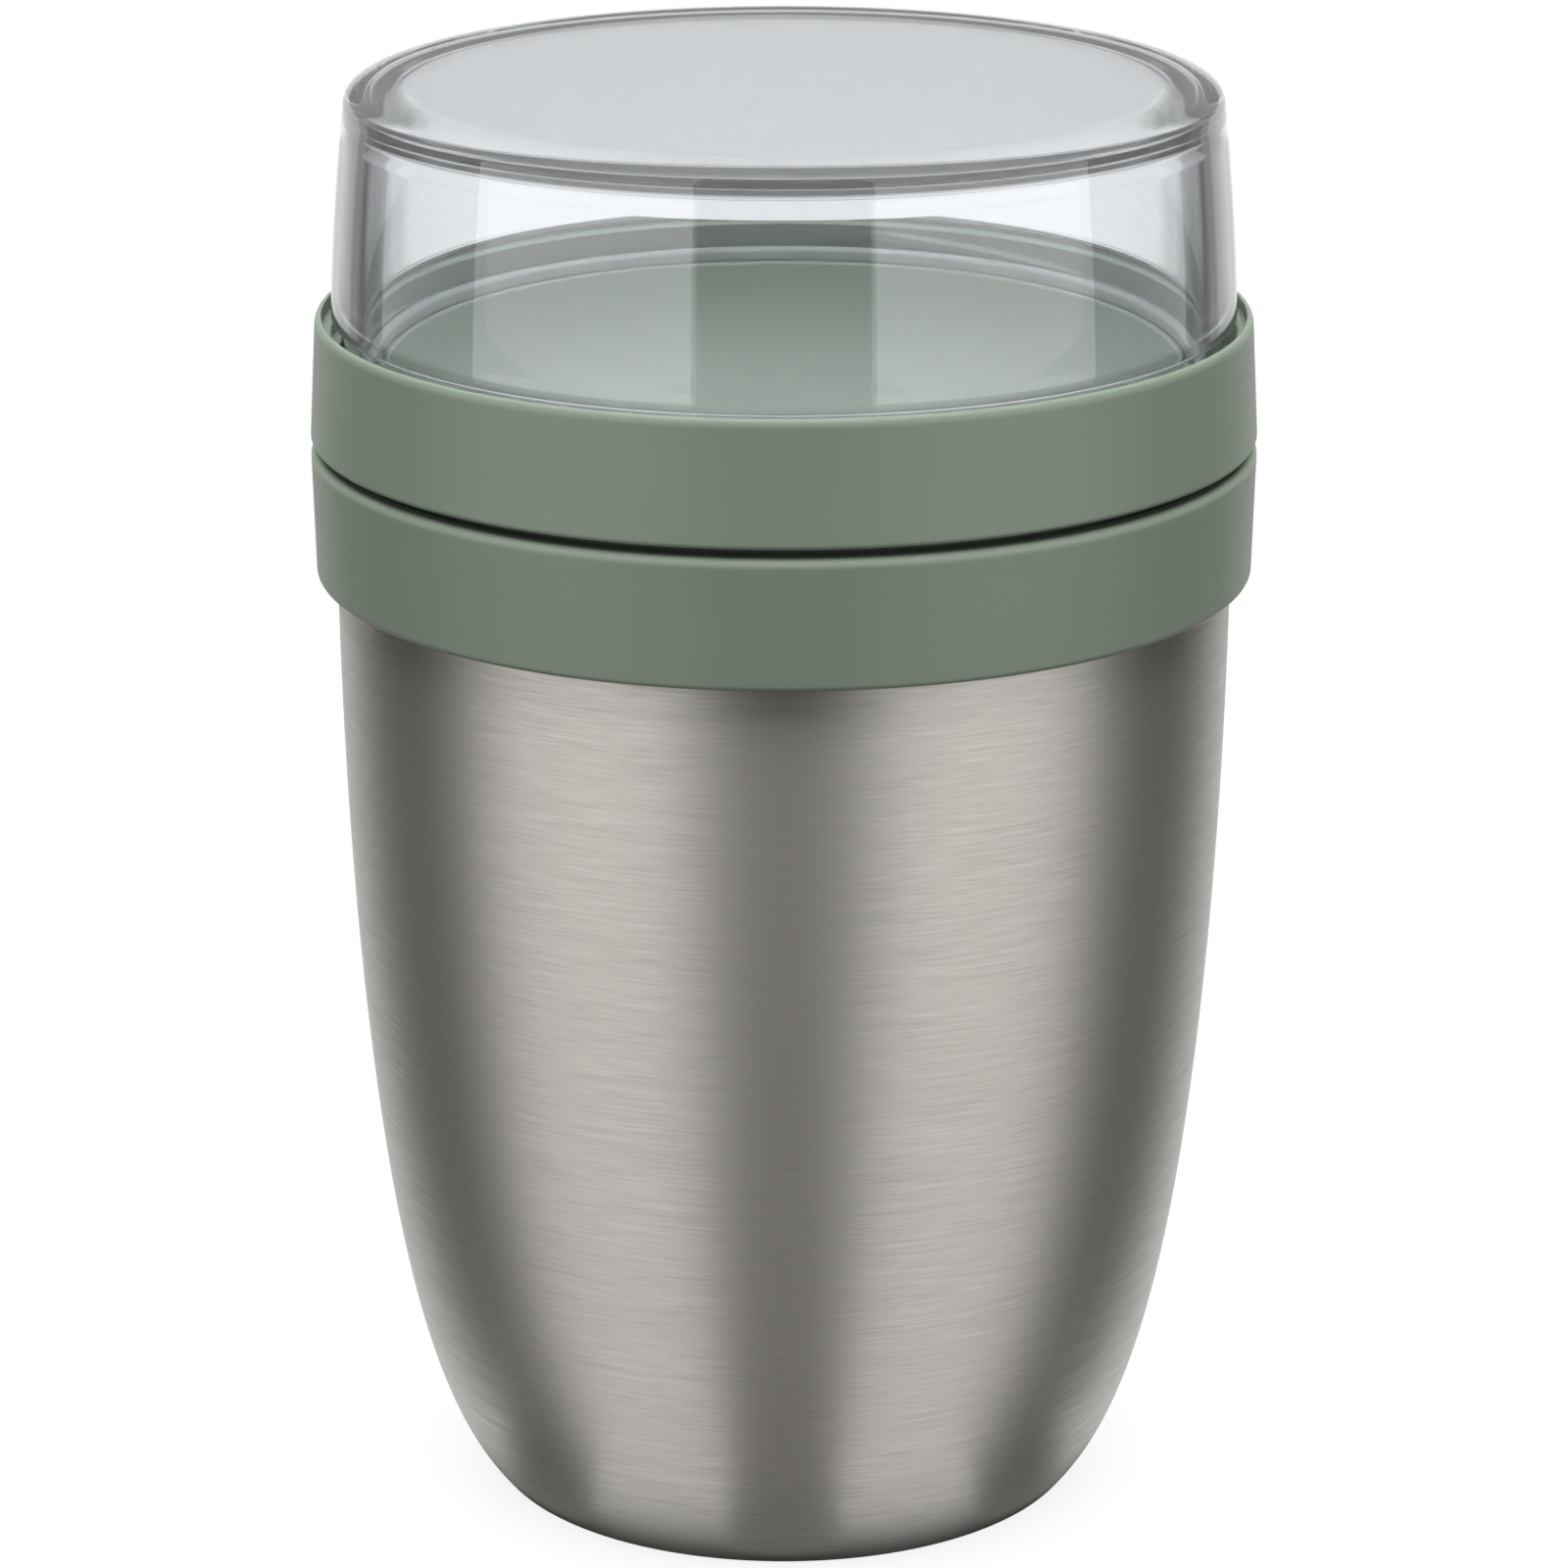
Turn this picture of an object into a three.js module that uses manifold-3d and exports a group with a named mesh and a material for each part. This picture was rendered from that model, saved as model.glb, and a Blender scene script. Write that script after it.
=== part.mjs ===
// Insulated lunch pot: a vacuum-walled steel vessel with a green neck collar, a green cup that screws
// into the collar as the vessel's stopper, and a clear lid that screws into the cup's ring.
// Millimetres and degrees, +Z up, origin at the centre of the base. Every piece is turned about the Z axis.
import * as THREE from 'three';
import { mergeVertices } from 'three/addons/utils/BufferGeometryUtils.js';
import Module from 'manifold-3d';

const wasm = await Module();
wasm.setup();

// Outside of the pot
const ringRadius = 53.5;        // both green rings, at the joint line between them
const ringHeight = 14;          // upper ring
const ringDraft = 0.7;          // upper ring narrows by this towards its rim
const ringGap = 0.4;            // joint line
const collarHeight = 14.8;      // lower ring
const collarDraft = 0.35;       // lower ring narrows by this towards its foot
const collarTopRound = 1.5;
const ringEdgeRound = 0.5;      // upper ring's lower edge
const collarFootRound = 0.6;
const collarOverhang = 2.7;     // lower ring's side beyond the steel
const steelHeight = 109.5;      // bare steel below the collar
const baseRadius = 34.8;        // edge of the foot
const sideCurve = 1.82;         // exponent of the flank: a lower value draws it in sooner
const footCurve = 6;            // exponent of the foot: a higher value turns it in more sharply
const lidHeight = 26.5;         // clear lid above the upper ring's rim
const lidDraft = 1.8;           // lid narrows by this towards its top
const lidBow = 0.22;            // outward bow of the lid's side
const lidTopRoundWide = 6;      // rounding of the lid's top edge, across
const lidTopRoundDeep = 2.8;    // and down
const lidFootDrop = 0.5;        // lower edge of the lid's wall, below the upper ring's rim
const lidFootRound = 1.3;       // rounding of that edge

// Walls
const steelWall = 0.6;
const vacuumGap = 3.4;
const collarWall = 2.4;
const ringWall = 2.5;
const rimWall = 0.75;           // upper ring at its rim, above the thread
const rimDepth = 1.6;           // height of that thin rim
const channelFloor = 3;         // floor of the channel that takes the lid's skirt
const bowlWall = 1.5;
const bowlRimWidth = 2.8;       // bowl's rim, with the seat of the lid's seal
const plugWall = 1.5;
const foamWall = 1.6;
const lidWall = 3.5;
const lidTopWall = 3;
const lidSkirtWall = 1.3;
const lidInnerRound = 3.7;

// Steel vessel
const neckStep = 2;             // steel neck stands in from the flank
const neckShoulder = 1.2;       // height of that step
const neckHeight = 2.1;         // straight neck above it
const mouthRound = 0.8;         // chamfer from the liner's wall to its lip
const footFlange = 4.2;         // flat that the pot stands on
const footRound = 1;
const linerFloor = 6;           // inside floor above the table
const linerFootRadius = 26;     // flat part of the liner's floor
const plateWall = 0.8;
const plateRecess = 0.9;        // base plate above the table
const plateRim = 0.8;           // turned-down rim of the base plate
const dimpleRadius = 4.5;
const dimpleDepth = 0.9;
const vacuumHole = 1;
const beadDraft = 1;            // vacuum seal narrows by this towards the table
const getterRadius = 5;
const getterHeight = 1.2;
const getterOffset = 14;

// Collar and its seal
const collarEdge = 0.5;         // collar's lower edge below the steel's shoulder
const collarLedge = 0.4;        // collar's inner ledge above the steel lip
const sealWidth = 1;
const sealHeight = 1.3;

// Cup, plug and seals
const rimDrop = 6;              // seat of the lid's seal below the upper ring's rim
const bowlLip = 0.9;            // lip inside that seat, across
const bowlLipHeight = 0.6;
const bowlDepth = 30;           // below the seat of the lid's seal
const plugRound = 7;            // plug's lower corner
const cupGasketHeight = 1.8;
const lidGasketHeight = 1.8;
const gasketChamfer = 0.3;
const boreChamfer = 0.3;        // mouth of each threaded bore

// Threads
const threadHeight = 1.5;       // root of a ridge, along the axis
const crestShare = 0.65;        // height of its crest against its root
const threadRamp = 0.12;        // share of a ridge that runs out at each end
const runOutDepth = 0.2;        // share of the depth that is left at its very end
const threadRoot = 0.4;         // ridge sunk into its wall
const cupThreadDepth = 1.1;
const cupThreadStarts = 4;
const cupLead = 24;             // rise of the cup in one turn
const lidThreadDepth = 1;
const lidThreadStarts = 3;
const lidLead = 18;             // rise of the lid in one turn
const lidThreadTurn = 75;       // angle of the first lid ridge from the front

// Clearances
const seatGap = 0.25;           // between pieces that rest on each other
const runGap = 0.4;             // beside a thread
const flankGap = 0.35;          // above a thread ridge
const plugGap = 0.7;            // plug in the liner's mouth
const lidGap = 1.1;             // lid's wall inside the ring's rim

// Fineness of the turned solids
const aroundSteps = 40;
const sealSteps = 36;
const smallSteps = 16;
const flankSteps = 8;
const flankSpread = 1.6;        // steps lie closer together towards the foot
const bowlSteps = 7;
const roundSteps = 3;
const ridgeSteps = 8;
const sharpestMitre = 0.5;      // keeps a wall's sharp corners from running away
const mergeReach = 1e-4;

// Heights of the seams, from the table
const collarTop = steelHeight + collarHeight;
const ringBottom = collarTop + ringGap;
const rimTop = ringBottom + ringHeight;
const lidTop = rimTop + lidHeight;
const shoulderBottom = steelHeight + collarEdge;
const neckBottom = shoulderBottom + neckShoulder;
const lipBottom = neckBottom + neckHeight;
const lipTop = lipBottom + steelWall;
const plugShoulder = lipTop + seatGap + cupGasketHeight + seatGap;
const gasketSeat = rimTop - rimDrop;
const lidShoulder = gasketSeat + seatGap + lidGasketHeight + seatGap;
const bowlFloor = gasketSeat - bowlDepth;
const plugFloor = bowlFloor - bowlWall - seatGap - foamWall - seatGap;
const plugBottom = plugFloor - plugWall;
const channelTop = ringBottom + channelFloor;
const skirtBottom = channelTop + runGap;
const rimFoot = rimTop - rimDepth;
const lidFoot = rimTop - lidFootDrop;
const lidSideFoot = lidFoot + lidFootRound;

// Radii of the pieces that fit inside each other, from the outside in
const steelRadius = ringRadius - collarOverhang;
const neckRadius = steelRadius - neckStep;
const linerRadius = steelRadius - steelWall - vacuumGap - steelWall;
const collarBore = ringRadius - collarWall;
const plugRadius = collarBore - cupThreadDepth - runGap;
const plugBore = plugRadius - plugWall;
const plugTipRadius = linerRadius - plugGap;
const plugTipBore = plugTipRadius - plugWall;
const rimRadius = ringRadius - ringDraft;
const rimBore = rimRadius - rimWall;
const ringBore = ringRadius - ringWall;
const lidRadius = rimBore - lidGap;
const lidTopRadius = lidRadius - lidDraft;
const skirtRadius = ringBore - lidThreadDepth - runGap;
const skirtBore = skirtRadius - lidSkirtWall;
const bowlRimRadius = skirtBore - runGap;
const bowlMouth = bowlRimRadius - bowlRimWidth;

// Colours
const steelFinish = { color: '#b8b5b0', metalness: 1, roughness: 0.35 };
const greenFinish = { color: '#6f7b6d', metalness: 0, roughness: 0.55 };
const clearFinish = { color: '#e6ebee', metalness: 0, roughness: 0.05, transparent: true, opacity: 0.35 };
const siliconeFinish = { color: '#c9cdcb', metalness: 0, roughness: 0.6 };
const foamFinish = { color: '#ece9df', metalness: 0, roughness: 0.95 };
const getterFinish = { color: '#6b6a68', metalness: 0.6, roughness: 0.8 };
const solderFinish = { color: '#9b9a97', metalness: 1, roughness: 0.5 };

// A quarter ellipse from one point to another: it leaves the first along the axis and reaches the second across it
function roundOut([startRadius, startHeight], [endRadius, endHeight], steps = roundSteps) {
  const points = [];
  for (let step = 0; step <= steps; step += 1) {
    const angle = (step / steps) * (Math.PI / 2);
    const radius = endRadius + (startRadius - endRadius) * Math.cos(angle);
    const height = startHeight + (endHeight - startHeight) * Math.sin(angle);
    points.push([radius, height]);
  }
  return points;
}

// The same quarter ellipse, leaving the first point across the axis and reaching the second along it
function roundUp(start, end, steps = roundSteps) {
  return roundOut(end, start, steps).reverse();
}

// A side that stands upright at its top and curls in to the foot, listed from the foot up
function flank([footRadius, footHeight], [topRadius, topHeight]) {
  const fall = topHeight - footHeight;
  const reach = fall / (1 - (footRadius / topRadius) ** footCurve) ** (1 / sideCurve);
  const points = [];
  for (let step = 0; step <= flankSteps; step += 1) {
    const height = footHeight + fall * (step / flankSteps) ** flankSpread;
    const drop = ((topHeight - height) / reach) ** sideCurve;
    points.push([topRadius * (1 - drop) ** (1 / footCurve), height]);
  }
  return points;
}

// A line moved sideways by a distance, to the left of its direction, for a wall of even thickness
function beside(line, distance) {
  return line.map(([radius, height], place) => {
    const [backRadius, backHeight] = line[Math.max(place - 1, 0)];
    const [nextRadius, nextHeight] = line[Math.min(place + 1, line.length - 1)];
    const before = new THREE.Vector2(radius - backRadius, height - backHeight).normalize();
    const after = new THREE.Vector2(nextRadius - radius, nextHeight - height).normalize();
    const way = before.add(after).normalize();
    const stretch = after.lengthSq() > 0 ? Math.max(way.dot(after), sharpestMitre) : 1;
    const moved = radius - (way.y * distance) / stretch;
    return [radius === 0 ? 0 : moved, height + (way.x * distance) / stretch];
  });
}

// One closed body with its faces pointing out: shared corners merged, collapsed triangles left out
function closed(geometry) {
  const bare = geometry.clone();
  bare.deleteAttribute('normal');
  bare.deleteAttribute('uv');
  const merged = mergeVertices(bare, mergeReach);
  const place = merged.attributes.position;
  const corner = (number) => new THREE.Vector3().fromBufferAttribute(place, number);
  const faces = [];
  let volume = 0;
  for (let i = 0; i < merged.index.count; i += 3) {
    const [a, b, c] = [0, 1, 2].map((step) => merged.index.getX(i + step));
    if (a !== b && b !== c && c !== a) {
      faces.push(a, b, c);
      volume += corner(a).dot(corner(b).cross(corner(c)));
    }
  }
  merged.setIndex(volume < 0 ? faces.reverse() : faces);
  return merged;
}

// A solid turned about the Z axis from [radius, height] points; a profile off the axis closes on itself
function turned(profile, steps = aroundSteps) {
  const points = profile.map(([radius, height]) => new THREE.Vector2(radius, height));
  if (points[0].x > 0) {
    points.push(points[0].clone());
  }
  return closed(new THREE.LatheGeometry(points, steps).rotateX(Math.PI / 2));
}

function toManifold(geometry) {
  const vertProperties = Float32Array.from(geometry.attributes.position.array);
  const triVerts = Uint32Array.from(geometry.index.array);
  return new wasm.Manifold(new wasm.Mesh({ numProp: 3, vertProperties, triVerts }));
}

function fromManifold(solid) {
  const { vertProperties, triVerts } = solid.getMesh();
  const geometry = new THREE.BufferGeometry();
  geometry.setAttribute('position', new THREE.BufferAttribute(vertProperties, 3));
  geometry.setIndex(new THREE.BufferAttribute(triVerts, 1));
  return geometry;
}

// A thread ridge: a bar bent round the axis along its helix, narrower at the crest and run out at both ends
function ridge({ wallRadius, depth, bottom, rise, lead, startAngle }) {
  const bar = new THREE.BoxGeometry(1, 1, 1, 1, ridgeSteps, 1);
  const place = bar.attributes.position;
  const turn = (rise / lead) * 360;
  const root = -Math.sign(depth) * threadRoot;
  for (let i = 0; i < place.count; i += 1) {
    const along = place.getY(i) + 0.5;
    const crest = place.getX(i) > 0;
    const fromEnd = Math.min(along, 1 - along) / threadRamp;
    const runOut = Math.min(1, runOutDepth + (1 - runOutDepth) * fromEnd);
    const radius = wallRadius + (crest ? depth * runOut : root);
    const angle = THREE.MathUtils.degToRad(startAngle + turn * along);
    const lift = place.getZ(i) * threadHeight * (crest ? crestShare : 1);
    const height = bottom + threadHeight / 2 + rise * along + lift;
    place.setXYZ(i, radius * Math.cos(angle), radius * Math.sin(angle), height);
  }
  return closed(bar);
}

// A turned body with its thread ridges, evenly spaced round it
function threaded(body, starts, shape) {
  let solid = toManifold(body);
  for (let start = 0; start < starts; start += 1) {
    const startAngle = shape.startAngle + (start * 360) / starts;
    solid = solid.add(toManifold(ridge({ ...shape, startAngle })));
  }
  return fromManifold(solid);
}

// A seal ring with chamfered edges
function sealRing(innerRadius, outerRadius, bottom, height) {
  const cut = gasketChamfer;
  const top = bottom + height;
  return turned([
    [innerRadius + cut, bottom],
    [outerRadius - cut, bottom],
    [outerRadius, bottom + cut],
    [outerRadius, top - cut],
    [outerRadius - cut, top],
    [innerRadius + cut, top],
    [innerRadius, top - cut],
    [innerRadius, bottom + cut],
  ], sealSteps);
}

function piece(name, geometry, finish) {
  const mesh = new THREE.Mesh(geometry, new THREE.MeshStandardMaterial(finish));
  mesh.name = name;
  return mesh;
}

// Outer shell: foot flange, flank and the stepped-in neck, one drawn sheet
const footInner = baseRadius - footFlange;
function outerShell() {
  const side = flank([baseRadius, footRound], [steelRadius, shoulderBottom]);
  const line = [
    [footInner, 0],
    [baseRadius - footRound, 0],
    ...side,
    [neckRadius, neckBottom],
    [neckRadius, lipBottom - seatGap],
  ];
  return turned([...line, ...beside(line, steelWall).reverse()]);
}

// Base plate: a recessed disc with a turned-down rim, and a dimple with the hole that the vacuum was drawn through
const plateRadius = footInner - seatGap;
function basePlate() {
  const plateTop = plateRecess + plateWall;
  return turned([
    [plateRadius - plateRim, seatGap],
    [plateRadius, seatGap],
    [plateRadius, plateTop],
    [dimpleRadius + plateWall, plateTop],
    [dimpleRadius, plateTop + dimpleDepth],
    [vacuumHole, plateTop + dimpleDepth],
    [vacuumHole, plateRecess + dimpleDepth],
    [dimpleRadius - plateWall, plateRecess + dimpleDepth],
    [dimpleRadius, plateRecess],
    [plateRadius - plateRim, plateRecess],
  ]);
}

// Vacuum seal: a bead that fills the dimple and plugs its hole
function vacuumSeal() {
  const beadRadius = dimpleRadius - plateWall - seatGap;
  const beadTop = plateRecess + dimpleDepth - seatGap;
  return turned([
    [0, plateRecess],
    [beadRadius - beadDraft, plateRecess],
    [beadRadius, beadTop],
    [vacuumHole - seatGap, beadTop],
    [vacuumHole - seatGap, beadTop + plateWall],
    [0, beadTop + plateWall],
  ], smallSteps);
}

// Inner liner: flat floor, curled flank, straight mouth and the lip that lies on the shell's neck
function innerLiner() {
  const mouthFoot = plugBottom;
  const inside = [
    [0, linerFloor],
    ...flank([linerFootRadius, linerFloor], [linerRadius, mouthFoot]),
    [linerRadius, lipTop - mouthRound],
    [linerRadius + mouthRound, lipTop],
    [neckRadius, lipTop],
  ];
  return turned([...beside(inside, -steelWall), ...inside.reverse()]);
}

// Getter: a pellet on the underside of the liner's floor, in the vacuum
function getterPellet() {
  return closed(new THREE.CylinderGeometry(getterRadius, getterRadius, getterHeight, smallSteps));
}

// Neck collar: rounded foot, drafted side and rounded top outside; seal groove, ledge and threaded bore inside
const neckBore = neckRadius + seatGap;
const grooveBottom = neckBottom + seatGap;
function neckCollar() {
  const footRadius = steelRadius + seatGap;
  const sideFoot = ringRadius - collarDraft;
  const grooveBore = neckBore + sealWidth + seatGap;
  const grooveTop = grooveBottom + sealHeight + 2 * seatGap;
  const ledge = lipTop + collarLedge;
  const body = turned([
    [footRadius, steelHeight],
    ...roundUp([sideFoot - collarFootRound, steelHeight], [sideFoot, steelHeight + collarFootRound]),
    ...roundOut([ringRadius, collarTop - collarTopRound], [ringRadius - collarTopRound, collarTop]),
    [collarBore + boreChamfer, collarTop],
    [collarBore, collarTop - boreChamfer],
    [collarBore, ledge],
    [neckBore, ledge],
    [neckBore, grooveTop],
    [grooveBore, grooveTop],
    [grooveBore, grooveBottom],
    [neckBore, grooveBottom],
    [footRadius, shoulderBottom],
  ]);
  return threaded(body, cupThreadStarts, {
    wallRadius: collarBore,
    depth: -cupThreadDepth,
    bottom: cupThreadBottom + threadHeight + flankGap,
    rise: cupThreadRise,
    lead: cupLead,
    startAngle: 0,
  });
}

// The cup's thread fills the height between the plug's shoulder and the collar's rounded top
const cupThreadBottom = plugShoulder + seatGap;
const cupThreadRise = collarTop - collarTopRound - cupThreadBottom - 2 * threadHeight - flankGap;

function collarSeal() {
  return sealRing(neckBore, neckBore + sealWidth, grooveBottom + seatGap, sealHeight);
}

// Inside of the cup's bowl, from its floor up; it clears the plug's shoulder by the foam's thickness
function bowlInside() {
  const bellyRadius = plugTipBore - seatGap - foamWall - seatGap - bowlWall;
  const bellyFall = (gasketSeat - plugShoulder - plugWall) / bowlDepth;
  const fullness = Math.log(1 - bellyFall ** 2) / Math.log(bellyRadius / bowlMouth);
  const points = [];
  for (let step = 0; step <= bowlSteps; step += 1) {
    const fall = Math.cos((step / bowlSteps) * (Math.PI / 2));
    points.push([bowlMouth * (1 - fall ** 2) ** (1 / fullness), gasketSeat - bowlDepth * fall]);
  }
  return points;
}

// The bowl's inside moved out by a distance and cut off at a height
function bowlOutside(distance, top) {
  const line = beside(bowlInside(), -distance);
  const above = line.findIndex(([, height]) => height > top);
  const [lowRadius, lowHeight] = line[above - 1];
  const [highRadius, highHeight] = line[above];
  const share = (top - lowHeight) / (highHeight - lowHeight);
  return [...line.slice(0, above), [lowRadius + (highRadius - lowRadius) * share, top]];
}

// Cup: the upper ring, the channel that takes the lid's skirt, and the bowl, one moulding
function cupBowl() {
  const lipRadius = bowlMouth + bowlLip;
  const body = turned([
    ...bowlOutside(bowlWall, ringBottom),
    ...roundUp([ringRadius - ringEdgeRound, ringBottom], [ringRadius, ringBottom + ringEdgeRound], 2),
    ...roundOut([rimRadius, rimTop - rimWall / 2], [rimRadius - rimWall / 2, rimTop], 2),
    [rimBore, rimTop - rimWall / 2],
    [rimBore, rimFoot],
    [ringBore + boreChamfer, rimFoot],
    [ringBore, rimFoot - boreChamfer],
    [ringBore, channelTop],
    [bowlRimRadius, channelTop],
    [bowlRimRadius, gasketSeat],
    [lipRadius, gasketSeat],
    [lipRadius, gasketSeat + bowlLipHeight],
    [bowlMouth + bowlLip / 2, gasketSeat + bowlLipHeight],
    ...bowlInside().reverse(),
  ]);
  return threaded(body, lidThreadStarts, {
    wallRadius: ringBore,
    depth: -lidThreadDepth,
    bottom: lidThreadBottom + threadHeight + flankGap,
    rise: lidThreadRise,
    lead: lidLead,
    startAngle: lidThreadTurn - 90,
  });
}

// The lid's thread fills the height between the skirt's lower edge and the ledge under the ring's rim
const lidThreadBottom = skirtBottom + seatGap;
const lidThreadRise = rimFoot - boreChamfer - lidThreadBottom - 2 * threadHeight - 2 * flankGap;

// Plug: the wall that hangs under the ring with the cup's thread, and the tip that closes the vessel's mouth
function plugShell() {
  const plugTop = ringBottom - seatGap;
  const inner = Math.max(plugRound - plugWall, plugWall);
  const body = turned([
    [0, plugBottom],
    ...roundUp([plugTipRadius - plugRound, plugBottom], [plugTipRadius, plugBottom + plugRound]),
    [plugTipRadius, plugShoulder],
    [plugRadius, plugShoulder],
    [plugRadius, plugTop],
    [plugBore, plugTop],
    [plugBore, plugShoulder + plugWall],
    [plugTipBore, plugShoulder + plugWall],
    ...roundOut([plugTipBore, plugFloor + inner], [plugTipBore - inner, plugFloor]),
    [0, plugFloor],
  ]);
  return threaded(body, cupThreadStarts, {
    wallRadius: plugRadius,
    depth: cupThreadDepth,
    bottom: cupThreadBottom,
    rise: cupThreadRise,
    lead: cupLead,
    startAngle: 0,
  });
}

// Insulation: it fills the space between the plug and the bowl
function plugFoam() {
  const outerRadius = plugBore - seatGap;
  const tipRadius = plugTipBore - seatGap;
  const step = plugShoulder + plugWall + seatGap;
  const top = ringBottom - 2 * seatGap;
  const bottom = plugFloor + seatGap;
  const corner = Math.max(plugRound - plugWall, plugWall);
  return turned([
    [0, bottom],
    ...roundUp([tipRadius - corner, bottom], [tipRadius, bottom + corner]),
    [tipRadius, step],
    [outerRadius, step],
    [outerRadius, top],
    ...bowlOutside(bowlWall + seatGap, top).reverse(),
  ]);
}

function cupGasket() {
  return sealRing(plugTipRadius + runGap, neckRadius - seatGap, lipTop + seatGap, cupGasketHeight);
}

// Lid: threaded skirt, shoulder for the seal, bowed side, rounded top edge and a flat top
function clearLid() {
  const sideTop = lidTop - lidTopRoundDeep;
  const side = [0, 0.5, 1].map((share) => [
    lidRadius - lidDraft * share + lidBow * 4 * share * (1 - share),
    lidSideFoot + (sideTop - lidSideFoot) * share,
  ]);
  const ceiling = lidTop - lidTopWall;
  const ceilingRadius = lidTopRadius - lidWall;
  const body = turned([
    [skirtBore, skirtBottom],
    [skirtRadius, skirtBottom],
    ...roundUp([skirtRadius, lidFoot], [lidRadius, lidSideFoot]),
    ...side.slice(1),
    ...roundOut([lidTopRadius, sideTop], [lidTopRadius - lidTopRoundWide, lidTop]).slice(1),
    [0, lidTop],
    [0, ceiling],
    ...roundOut([ceilingRadius, ceiling - lidInnerRound], [ceilingRadius - lidInnerRound, ceiling]).reverse(),
    [lidRadius - lidWall, lidShoulder],
    [skirtBore, lidShoulder],
  ]);
  return threaded(body, lidThreadStarts, {
    wallRadius: skirtRadius,
    depth: lidThreadDepth,
    bottom: lidThreadBottom,
    rise: lidThreadRise,
    lead: lidLead,
    startAngle: lidThreadTurn - 90,
  });
}

function lidGasket() {
  return sealRing(bowlMouth + bowlLip + seatGap, skirtBore - runGap, gasketSeat + seatGap, lidGasketHeight);
}

const vessel = new THREE.Group();
const getter = piece('getter_pellet', getterPellet(), getterFinish);
getter.rotation.x = Math.PI / 2;
getter.position.set(getterOffset, 0, linerFloor - steelWall - seatGap - getterHeight / 2);
vessel.add(
  piece('outer_shell', outerShell(), steelFinish),
  piece('base_plate', basePlate(), steelFinish),
  piece('vacuum_seal', vacuumSeal(), solderFinish),
  piece('inner_liner', innerLiner(), steelFinish),
  getter,
  piece('neck_collar', neckCollar(), greenFinish),
  piece('collar_seal', collarSeal(), siliconeFinish),
);

const cup = new THREE.Group();
cup.add(
  piece('cup_bowl', cupBowl(), greenFinish),
  piece('plug_shell', plugShell(), greenFinish),
  piece('plug_foam', plugFoam(), foamFinish),
  piece('cup_gasket', cupGasket(), siliconeFinish),
);

const lid = new THREE.Group();
lid.add(
  piece('clear_lid', clearLid(), clearFinish),
  piece('lid_gasket', lidGasket(), siliconeFinish),
);

const pot = new THREE.Group();
pot.add(vessel, cup, lid);

export default pot;
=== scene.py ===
# Insulated lunch pot: brushed steel vessel, green neck collar and cup, clear screw lid
import math
import bpy
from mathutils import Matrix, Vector


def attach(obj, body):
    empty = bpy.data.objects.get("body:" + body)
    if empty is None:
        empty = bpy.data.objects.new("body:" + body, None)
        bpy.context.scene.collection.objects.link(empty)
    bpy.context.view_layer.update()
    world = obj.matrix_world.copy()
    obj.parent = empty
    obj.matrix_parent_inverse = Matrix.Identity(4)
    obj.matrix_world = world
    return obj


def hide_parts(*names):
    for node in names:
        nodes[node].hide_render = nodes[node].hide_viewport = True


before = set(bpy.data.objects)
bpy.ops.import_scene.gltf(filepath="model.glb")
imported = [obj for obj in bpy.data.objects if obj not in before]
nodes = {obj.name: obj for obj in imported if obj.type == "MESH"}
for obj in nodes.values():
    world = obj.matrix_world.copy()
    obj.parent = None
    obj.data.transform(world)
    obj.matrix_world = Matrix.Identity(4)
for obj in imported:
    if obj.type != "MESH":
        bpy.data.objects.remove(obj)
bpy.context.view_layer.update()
millimetre = 0.001


def hexToLinear(code):
    shares = [int(code[place:place + 2], 16) / 255 for place in (1, 3, 5)]
    return [s / 12.92 if s <= 0.04045 else ((s + 0.055) / 1.055) ** 2.4 for s in shares] + [1.0]


def addNode(tree, kind, settings={}, values={}, links={}):
    node = tree.nodes.new("ShaderNode" + kind)
    for name, value in settings.items():
        setattr(node, name, value)
    for socket, value in values.items():
        node.inputs[socket].default_value = value
    for socket, source in links.items():
        tree.links.new(source, node.inputs[socket])
    return node


def startMaterial(name):
    material = bpy.data.materials.new(name)
    material.use_nodes = True
    material.node_tree.nodes.clear()
    return material, material.node_tree


def wear(piece, material):
    piece.data.materials.clear()
    piece.data.materials.append(material)


# Corners are (radius, height) or (radius, height, fillet). Each fillet becomes an arc,
# with a holding point on both sides so that the flats beside it stay flat in the light.
turning = {
    "arcStep": math.radians(11), "hold": 0.3, "holdShare": 0.3, "around": 192,
    "sharpAngle": math.radians(38), "leastStretch": 0.5, "sameRadius": 1e-6,
}


def rounded(corners, closedLoop=False):
    points = []
    last = len(corners) - 1
    for place, corner in enumerate(corners):
        here = Vector(corner[:2])
        if len(corner) == 2 or (not closedLoop and place in (0, last)):
            points.append(here)
            continue
        fillet = corner[2]
        back = Vector(corners[place - 1][:2]) - here
        ahead = Vector(corners[(place + 1) % len(corners)][:2]) - here
        turn = math.pi - back.angle(ahead)
        reach = fillet * math.tan(turn / 2)
        toBack = back.normalized()
        toAhead = ahead.normalized()
        centre = here + (toBack + toAhead).normalized() * fillet / math.cos(turn / 2)
        first = here + toBack * reach - centre
        final = here + toAhead * reach - centre
        steps = max(2, math.ceil(turn / turning["arcStep"]))
        spare = turning["holdShare"] * (back.length - reach)
        points.append(here + toBack * (reach + min(turning["hold"], spare)))
        for step in range(steps + 1):
            share = step / steps
            arm = first * math.sin((1 - share) * turn) + final * math.sin(share * turn)
            points.append(centre + arm / math.sin(turn))
        spare = turning["holdShare"] * (ahead.length - reach)
        points.append(here + toAhead * (reach + min(turning["hold"], spare)))
    return points


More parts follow.
